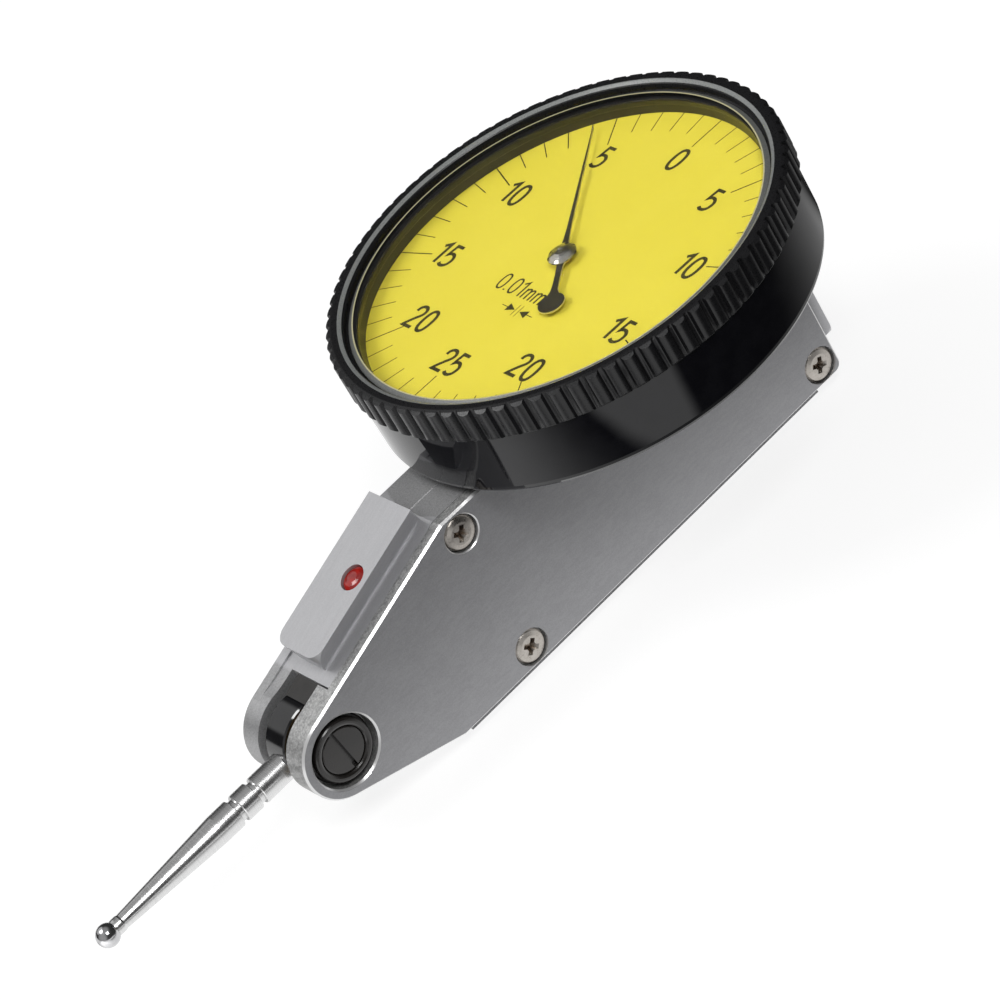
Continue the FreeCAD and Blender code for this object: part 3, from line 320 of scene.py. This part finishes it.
def mat_crystal():
    """Clear thin crystal with glossy faces; the grey of its bevelled rim and the pale line where it starts are painted
    refraction, drawn as separate rings.
    """
    g = Graph("crystal_clear")
    n1 = g.noise(420.0, 2.0, 0.5)
    n = g.shader((1.0, 1.0, 1.0), 0.0, 0.0, None, ior=1.0, coat=1.0, coat_rough=0.012)
    n.inputs["Transmission Weight"].default_value = 1.0
    n.inputs["Coat IOR"].default_value = 1.47
    g.put(n.inputs["Coat Normal"], g.bump(n1, 0.0000003))
    clear = g.new("ShaderNodeBsdfTransparent")
    path = g.new("ShaderNodeLightPath")
    both = g.new("ShaderNodeMixShader")
    g.nt.links.new(path.outputs["Is Shadow Ray"], both.inputs[0])
    g.nt.links.new(n.outputs[0], both.inputs[1])
    g.nt.links.new(clear.outputs[0], both.inputs[2])
    return g.done(both)


def mat_pointer():
    """Black needle whose cut edges are bare metal."""
    g = Graph("pointer_black")
    geo = g.new("ShaderNodeNewGeometry")
    nx, ny, nz = g.xyz(geo.outputs["Normal"])
    top = g.ramp(nz, 0.5, 0.8)
    n1 = g.noise(6000.0, 3.0, 0.6)
    col = g.mix(top, (0.62, 0.60, 0.52), g.mix(g.ramp(n1, 0.3, 0.7), (0.012, 0.011, 0.008), (0.024, 0.021, 0.014)))
    met = g.fmix(top, 1.0, 0.0)
    r = g.fmix(top, 0.30, 0.42)
    return g.done(g.shader(col, r, met, g.bump(n1, 0.0000005)))


def mat_lacquer():
    g = Graph("seal_lacquer")
    n1 = g.noise(1500.0, 3.0, 0.5)
    col = g.mix(g.ramp(n1, 0.3, 0.7), (0.26, 0.006, 0.004), (0.42, 0.012, 0.007))
    return g.done(g.shader(col, 0.12, 0.0, g.bump(n1, 0.00004), coat=0.6, coat_rough=0.04))


def mat_screw():
    g = Graph("screw_nickel")
    x, y, z = g.xyz()
    # painted shade: darker brown further into the cross recess and below the head
    depth = g.ramp(y, -0.00418, -0.00390)
    n1 = g.noise(5200.0, 4.0, 0.6)
    n2 = g.noise(1500.0, 3.0, 0.6)
    k = g.math("ADD", g.math("MULTIPLY", n1, 0.5), g.math("MULTIPLY", n2, 0.5))
    top = g.mix(g.ramp(k, 0.32, 0.68), (0.36, 0.335, 0.305), (0.50, 0.47, 0.435))
    col = g.mix(depth, top, (0.26, 0.215, 0.175))
    r = g.ramp(k, 0.3, 0.7, 0.24, 0.38)
    return g.done(g.shader(col, r, 1.0, g.bump(k, 0.000003)))


M = {
    "cast_steel": mat_frame(),
    "cover_satin": mat_cover(),
    "screw_nickel": mat_screw(),
    "black_oxide": mat_black("black_oxide", (0.010, 0.0085, 0.0075), 0.22, 0.0000012),
    "hub_black": mat_black("hub_black", (0.005, 0.005, 0.006), 0.10, 0.0000003, coat=0.3),
    "bronze": turned("bronze", (0.34, 0.21, 0.10), 0.34, 1, PIVOT),
    "movement_brass": satin("movement_brass", (0.62, 0.44, 0.18), 0.30, stretch=(0.2, 1, 1)),
    "spring_steel": satin("spring_steel", (0.42, 0.43, 0.46), 0.24),
    "arbor_steel": satin("arbor_steel", (0.55, 0.55, 0.56), 0.22),
    "jewel": mat_black("jewel", (0.45, 0.01, 0.05), 0.08, 0.0000002, coat=0.5),
    "seal_lacquer": mat_lacquer(),
    "base_black": mat_black("base_black", (0.014, 0.014, 0.015), 0.34, 0.000001),
    "bezel_black": mat_bezel(),
    "seal_rubber": mat_black("seal_rubber", (0.016, 0.016, 0.016), 0.75, 0.000004),
    "crystal_clear": mat_crystal(),
    "dial_yellow": mat_dial(),
    "clamp_aluminium": satin("clamp_aluminium", (0.62, 0.62, 0.62), 0.35),
    "pointer_black": mat_pointer(),
    "cap_chrome": turned("cap_chrome", (0.66, 0.65, 0.63), 0.10, 2, DIAL, pitch=0.00008, amp=0.05, depth=0.0000002),
    "stylus_steel": turned("stylus_steel", (0.68, 0.68, 0.68), 0.25, 0, PIVOT, pitch=0.00005, amp=0.08, depth=0.0000001),
    "ball_carbide": satin("ball_carbide", (0.55, 0.55, 0.56), 0.14, amp=0.06),
}
slot_of = {s["node"]: s["material_slot"] for s in frame["record"]["subparts"]}
for name, ob in frame["nodes"].items():
    mat = M[slot_of[name]]
    for i in range(max(1, len(ob.material_slots))):
        if len(ob.material_slots) == 0:
            ob.data.materials.append(mat)
        else:
            ob.material_slots[i].material = mat

# ------------------------------------------------------------------ dial print: generic graduation, numbers, unit and arrows
DIAL_TURN = math.radians(-2.34)
PRINT_Z = DIAL.z + 0.000004
strokes = []     # quads and fans as vertex lists


def add_poly(points):
    strokes.append(points)


def dial_to_row(px, py):
    """From print coordinates (reading direction to the right, up) in millimetres to the row frame."""
    # up on the print is +X turned by the dial's own turn; right is -Y
    c, s = math.cos(DIAL_TURN), math.sin(DIAL_TURN)
    ux, uy = py, -px
    return Vector((DIAL.x + (ux * c - uy * s) * MM, DIAL.y + (ux * s + uy * c) * MM, PRINT_Z))


def ribbon(points, w, closed=False):
    """One flat strip of width w along a line of points, mitred at its bends."""
    n = len(points)
    left, right = [], []
    for i in range(n):
        if closed:
            a, b = points[(i - 1) % n], points[(i + 1) % n]
            p = points[i]
        else:
            a, b = points[max(i - 1, 0)], points[min(i + 1, n - 1)]
            p = points[i]
        d1 = (Vector(p) - Vector(a)).normalized() if a != p else (Vector(b) - Vector(p)).normalized()
        d2 = (Vector(b) - Vector(p)).normalized() if b != p else d1
        n1, n2 = Vector((-d1.y, d1.x)), Vector((-d2.y, d2.x))
        m = (n1 + n2)
        m = m.normalized() if m.length > 1e-6 else n1
        k = 1.0 / max(0.42, m.dot(n1))
        left.append(Vector(p) + m * (w / 2 * k))
        right.append(Vector(p) - m * (w / 2 * k))
    last = n if closed else n - 1
    for i in range(last):
        j = (i + 1) % n
        add_poly([left[i], left[j], right[j], right[i]])


def arc(cx, cy, rx, ry, a0, a1, n):
    return [(cx + rx * math.cos(math.radians(a0 + (a1 - a0) * i / n)), cy + ry * math.sin(math.radians(a0 + (a1 - a0) * i / n))) for i in range(n + 1)]


def smooth_line(points, n=8):
    """Catmull-Rom line through points, for the digits' bowls."""
    out = []
    P = [points[0]] + list(points) + [points[-1]]
    for i in range(1, len(P) - 2):
        p0, p1, p2, p3 = P[i - 1], P[i], P[i + 1], P[i + 2]
        for k in range(n):
            t = k / n
            out.append(tuple(0.5 * ((2 * p1[a]) + (-p0[a] + p2[a]) * t + (2 * p0[a] - 5 * p1[a] + 4 * p2[a] - p3[a]) * t * t
                                    + (-p0[a] + 3 * p1[a] - 3 * p2[a] + p3[a]) * t ** 3) for a in (0, 1)))
    out.append(tuple(points[-1]))
    return out


def glyph(ch):
    """Centre lines of a digit in a box one unit high; returns (lines, width)."""
    if ch == "0":
        pts = []
        for i in range(40):
            a = 2 * math.pi * i / 40
            c, s = math.cos(a), math.sin(a)
            e = 0.86
            pts.append((0.29 + 0.235 * math.copysign(abs(c) ** e, c), 0.5 + 0.5 * math.copysign(abs(s) ** e, s)))
        return [(pts, True)], 0.58
    if ch == "1":
        return [([(0.04, 0.80), (0.30, 1.0), (0.30, 0.0)], False)], 0.42
    if ch == "2":
        top = smooth_line([(0.05, 0.72), (0.08, 0.87), (0.17, 0.97), (0.29, 1.0), (0.41, 0.96), (0.49, 0.84), (0.49, 0.71), (0.43, 0.58), (0.29, 0.40), (0.05, 0.03)], 5)
        return [(top[:-1] + [(0.04, 0.0), (0.53, 0.0)], False)], 0.58
    if ch == "5":
        bowl = smooth_line([(0.075, 0.52), (0.16, 0.59), (0.27, 0.615), (0.39, 0.58), (0.49, 0.46), (0.51, 0.32), (0.47, 0.15), (0.37, 0.04), (0.25, 0.0), (0.13, 0.02), (0.03, 0.09)], 5)
        return [([(0.48, 1.0), (0.125, 1.0)] + bowl, False)], 0.58
    if ch == ".":
        return [([(0.08, 0.0), (0.08, 0.10)], False)], 0.20
    if ch == "m":
        a = [([(0.05, 0.0), (0.05, 0.66)], False),
             (smooth_line([(0.08, 0.52), (0.15, 0.63), (0.25, 0.67), (0.33, 0.62), (0.355, 0.50)], 4) + [(0.355, 0.0)], False),
             (smooth_line([(0.385, 0.52), (0.455, 0.63), (0.555, 0.67), (0.635, 0.62), (0.66, 0.50)], 4) + [(0.66, 0.0)], False)]
        return a, 0.76
    return [], 0.3


def text(s, cx, cy, height, w, gap=0.10, slim=1.0):
    """Digits centred on (cx, cy) in print coordinates."""
    widths = [glyph(ch)[1] * slim for ch in s]
    total = (sum(widths) + gap * (len(s) - 1)) * height
    x = cx - total / 2
    for ch, wd in zip(s, widths):
        for line, closed in glyph(ch)[0]:
            pts = [(x + p[0] * slim * height, cy - height / 2 + p[1] * height) for p in line]
            ribbon(pts, w, closed)
        x += (wd + gap) * height


# graduation: 50 divisions, every fifth line long
R_OUT, R_LONG, R_SHORT = 17.75, 14.22, 15.35
for k in range(50):
    a = math.radians(7.2 * k)
    r0 = R_LONG if k % 5 == 0 else R_SHORT
    w = 0.115 if k % 5 == 0 else 0.095
    # angle measured from "up" on the print, clockwise
    ux, uy = math.sin(a), math.cos(a)
    add_poly([Vector((ux * r0 - uy * w / 2, uy * r0 + ux * w / 2)), Vector((ux * r0 + uy * w / 2, uy * r0 - ux * w / 2)),
              Vector((ux * R_OUT + uy * w / 2, uy * R_OUT - ux * w / 2)), Vector((ux * R_OUT - uy * w / 2, uy * R_OUT + ux * w / 2))])
NUM = ["0", "5", "10", "15", "20", "25", "20", "15", "10", "5"]
NUM_R, NUM_H, NUM_W = 12.6, 2.28, 0.335
for k, s in enumerate(NUM):
    a = math.radians(36 * k)
    text(s, math.sin(a) * NUM_R, math.cos(a) * NUM_R, NUM_H, NUM_W)
# unit and arrows
text("0.01mm", -0.95, -3.97, 1.62, 0.185, gap=0.10, slim=1.0)
ax, ay = 0.74, -5.97
for sgn in (-1, 1):
    ribbon([(ax + sgn * 0.22, ay - 0.62), (ax + sgn * 0.22, ay + 0.62)], 0.07)
    ribbon([(ax + sgn * 1.30, ay), (ax + sgn * 2.05, ay)], 0.08)
    add_poly([Vector((ax + sgn * 0.34, ay)), Vector((ax + sgn * 1.30, ay + 0.42)), Vector((ax + sgn * 1.30, ay - 0.42))])

verts, faces = [], []
for poly in strokes:
    base = len(verts)
    pts = [dial_to_row(p[0], p[1]) for p in poly]
    area = sum(pts[i].x * pts[(i + 1) % len(pts)].y - pts[(i + 1) % len(pts)].x * pts[i].y for i in range(len(pts)))
    if area < 0:
        pts.reverse()
    verts.extend(pts)
    faces.append(list(range(base, base + len(pts))))
me = bpy.data.meshes.new("dial_print")
me.from_pydata([tuple(v) for v in verts], [], faces)
import bmesh
bm = bmesh.new()
bm.from_mesh(me)
bmesh.ops.remove_doubles(bm, verts=bm.verts, dist=0.000002)
bm.to_mesh(me)
bm.free()
me.materials.append(mat_print())
print_ob = bpy.data.objects.new("dial_print", me)
bpy.context.scene.collection.objects.link(print_ob)
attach(print_ob, "bezel_unit")

# ------------------------------------------------------------------ crystal bevel and the line inside it, painted refraction: grey and pale yellow colour for the chamfer seen through the crystal
def ring_piece(name, profile, mat, segments=360):
    """Thin closed ring about the dial axis from (radius, height above the dial) points in millimetres."""
    n = len(profile)
    v, f = [], []
    for i in range(segments):
        a = 2 * math.pi * i / segments
        for r, h in profile:
            v.append((DIAL.x + r * MM * math.cos(a), DIAL.y + r * MM * math.sin(a), DIAL.z + h * MM))
    for i in range(segments):
        j = (i + 1) % segments
        for k in range(n):
            m = (k + 1) % n
            f.append((i * n + k, j * n + k, j * n + m, i * n + m))
    mesh = bpy.data.meshes.new(name)
    mesh.from_pydata(v, [], f)
    b = bmesh.new()
    b.from_mesh(mesh)
    bmesh.ops.recalc_face_normals(b, faces=b.faces)
    b.to_mesh(mesh)
    b.free()
    mesh.materials.append(mat)
    ob = bpy.data.objects.new(name, mesh)
    bpy.context.scene.collection.objects.link(ob)
    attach(ob, "bezel_unit")
    return ob


def mat_painted_refraction(name, lo, hi, rough):
    g = Graph(name)
    n1 = g.noise(9000.0, 3.0, 0.6)
    col = g.mix(g.ramp(n1, 0.3, 0.7), lo, hi)
    return g.done(g.shader(col, g.ramp(n1, 0.3, 0.7, rough * 0.9, rough * 1.1), 0.0, g.bump(n1, 0.0000006)))


# painted refraction: the grey ring and the pale yellow line stand for the crystal's chamfer seen through the crystal
ring_piece("crystal_bevel", [(17.90, 1.956), (18.285, 1.704), (18.275, 1.698), (17.90, 1.9515)],
           mat_painted_refraction("painted_refraction_bevel", (0.13, 0.135, 0.13), (0.20, 0.205, 0.195), 0.35))
ring_piece("crystal_line", [(17.78, 1.954), (17.90, 1.954), (17.90, 1.951), (17.78, 1.951)],
           mat_painted_refraction("painted_refraction_line", (0.50, 0.47, 0.27), (0.62, 0.59, 0.36), 0.30))

# ------------------------------------------------------------------ floor, light, camera
def mat_floor():
    """Pale table, bright to look at; to other rays it glows as painted light, brightest in a pool in front of the
    object and on its left.
    """
    g = Graph("floor_pale")
    n1 = g.noise(3.0, 2.0, 0.5)
    geo = g.new("ShaderNodeNewGeometry")
    x, y, z = g.xyz(geo.outputs["Position"])
    col = g.mix(g.ramp(n1, 0.3, 0.7), (0.30, 0.30, 0.30), (0.31, 0.31, 0.31))
    seen = g.shader(col, 0.8, 0.0, None, spec=0.1)
    seen.inputs["Emission Color"].default_value = (1, 1, 1, 1)
    seen.inputs["Emission Strength"].default_value = 0.80
    glow = g.new("ShaderNodeEmission")
    # painted light: glow that the floor gives off to reflected and bounced rays, a pool just in front of the object and
    # a bright left side
    pool = g.math("MULTIPLY", g.ramp(y, -0.038, -0.006), g.ramp(y, 0.002, 0.014, 1.0, 0.0))
    pool = g.math("MULTIPLY", pool, g.ramp(x, 0.015, 0.060, 1.0, 0.35))
    away = g.math("MAXIMUM", g.ramp(y, -0.042, -0.037, 1.0, 0.0), g.ramp(y, 0.008, 0.016))
    left = g.math("MULTIPLY", g.ramp(x, -0.003, 0.002, 1.0, 0.0), away)
    left = g.math("MAXIMUM", left, g.ramp(x, -0.075, -0.050, 1.0, 0.0))
    far = g.math("SQRT", g.math("ADD", g.math("MULTIPLY", x, x), g.math("MULTIPLY", y, y)))
    left = g.math("MULTIPLY", left, g.ramp(far, 0.10, 0.60, 1.0, 0.25))
    lit = g.math("ADD", g.math("MULTIPLY", pool, POOL), g.math("MULTIPLY", left, LEFT))
    g.put(glow.inputs["Strength"], g.math("ADD", lit, FLOOR_LOW))
    path = g.new("ShaderNodeLightPath")
    both = g.new("ShaderNodeMixShader")
    g.put(both.inputs[0], path.outputs["Is Camera Ray"])
    g.nt.links.new(glow.outputs[0], both.inputs[1])
    g.nt.links.new(seen.outputs[0], both.inputs[2])
    return g.done(both)


POOL, LEFT, FLOOR_LOW = 1.05, 0.95, 0.025
bpy.ops.mesh.primitive_plane_add(size=6.0, location=(0, 0, -0.0001))
floor = bpy.context.object
floor.name = "floor"
floor.data.materials.append(mat_floor())

world = bpy.data.worlds.new("studio")
bpy.context.scene.world = world
world.use_nodes = True
wn = world.node_tree
wn.nodes.clear()
w_out = wn.nodes.new("ShaderNodeOutputWorld")
w_bg = wn.nodes.new("ShaderNodeBackground")
w_bg.inputs["Color"].default_value = (1.0, 1.0, 1.0, 1.0)
wn.links.new(w_bg.outputs[0], w_out.inputs["Surface"])
w_tc = wn.nodes.new("ShaderNodeTexCoord")


def world_zone(direction, cos_lo, cos_hi, strength, before=None):
    """Adds a soft-edged bright zone of the studio about a direction."""
    dot = wn.nodes.new("ShaderNodeVectorMath")
    dot.operation = "DOT_PRODUCT"
    wn.links.new(w_tc.outputs["Generated"], dot.inputs[0])
    dot.inputs[1].default_value = Vector(direction).normalized()
    mr = wn.nodes.new("ShaderNodeMapRange")
    mr.interpolation_type = "SMOOTHSTEP"
    wn.links.new(dot.outputs["Value"], mr.inputs["Value"])
    mr.inputs["From Min"].default_value = cos_lo
    mr.inputs["From Max"].default_value = cos_hi
    mr.inputs["To Min"].default_value = 0.0
    mr.inputs["To Max"].default_value = strength
    add = wn.nodes.new("ShaderNodeMath")
    add.operation = "ADD"
    wn.links.new(mr.outputs[0], add.inputs[0])
    if before is None:
        add.inputs[1].default_value = 0.045
    else:
        wn.links.new(before, add.inputs[1])
    return add.outputs[0]


zone = world_zone((-0.27, 0.70, 0.64), 0.88, 0.935, 0.62)
zone = world_zone((-0.85, -0.20, 0.40), 0.60, 0.95, 0.40, zone)
zone = world_zone((0.0, 0.0, 1.0), 0.70, 0.98, 0.32, zone)
wn.links.new(zone, w_bg.inputs["Strength"])


def softbox(name, location, target, size_x, size_y, power, color=(1, 1, 1)):
    light = bpy.data.lights.new(name, "AREA")
    light.shape = "RECTANGLE"
    light.size = size_x
    light.size_y = size_y
    light.energy = power
    light.color = color
    ob = bpy.data.objects.new(name, light)
    ob.location = location
    d = Vector(target) - Vector(location)
    ob.rotation_euler = d.to_track_quat("-Z", "Y").to_euler()
    bpy.context.scene.collection.objects.link(ob)
    return ob


softbox("key", (-0.42, 0.34, 0.84), (0, 0, 0.01), 0.40, 0.40, 3.0)
softbox("front", (-0.055, -0.42, 0.56), (0, 0, 0.01), 0.22, 0.22, 2.0)

cam_data = bpy.data.cameras.new("camera")
cam = bpy.data.objects.new("camera", cam_data)
bpy.context.scene.collection.objects.link(cam)
bpy.context.scene.camera = cam
cam_data.sensor_width = 36.0
cam_data.lens = 4498.803592108694 * 36.0 / 1000.0
cam_data.clip_start = 0.01
cam_data.clip_end = 20.0
right = Vector((0.6880614043852431, -0.5846792444720414, -0.42979260682218556))
down = Vector((-0.6600626666398812, -0.2582122017254459, -0.7054386826566478))
fwd = Vector((0.3014776607041656, 0.7690751848575667, -0.5635907913838228))
place = Vector((-0.11493994385803989, -0.2745647529307123, 0.21363128228000794))
cam.matrix_world = Matrix(((right.x, -down.x, -fwd.x, place.x), (right.y, -down.y, -fwd.y, place.y), (right.z, -down.z, -fwd.z, place.z), (0, 0, 0, 1)))

bpy.context.scene.view_settings.view_transform = "Standard"
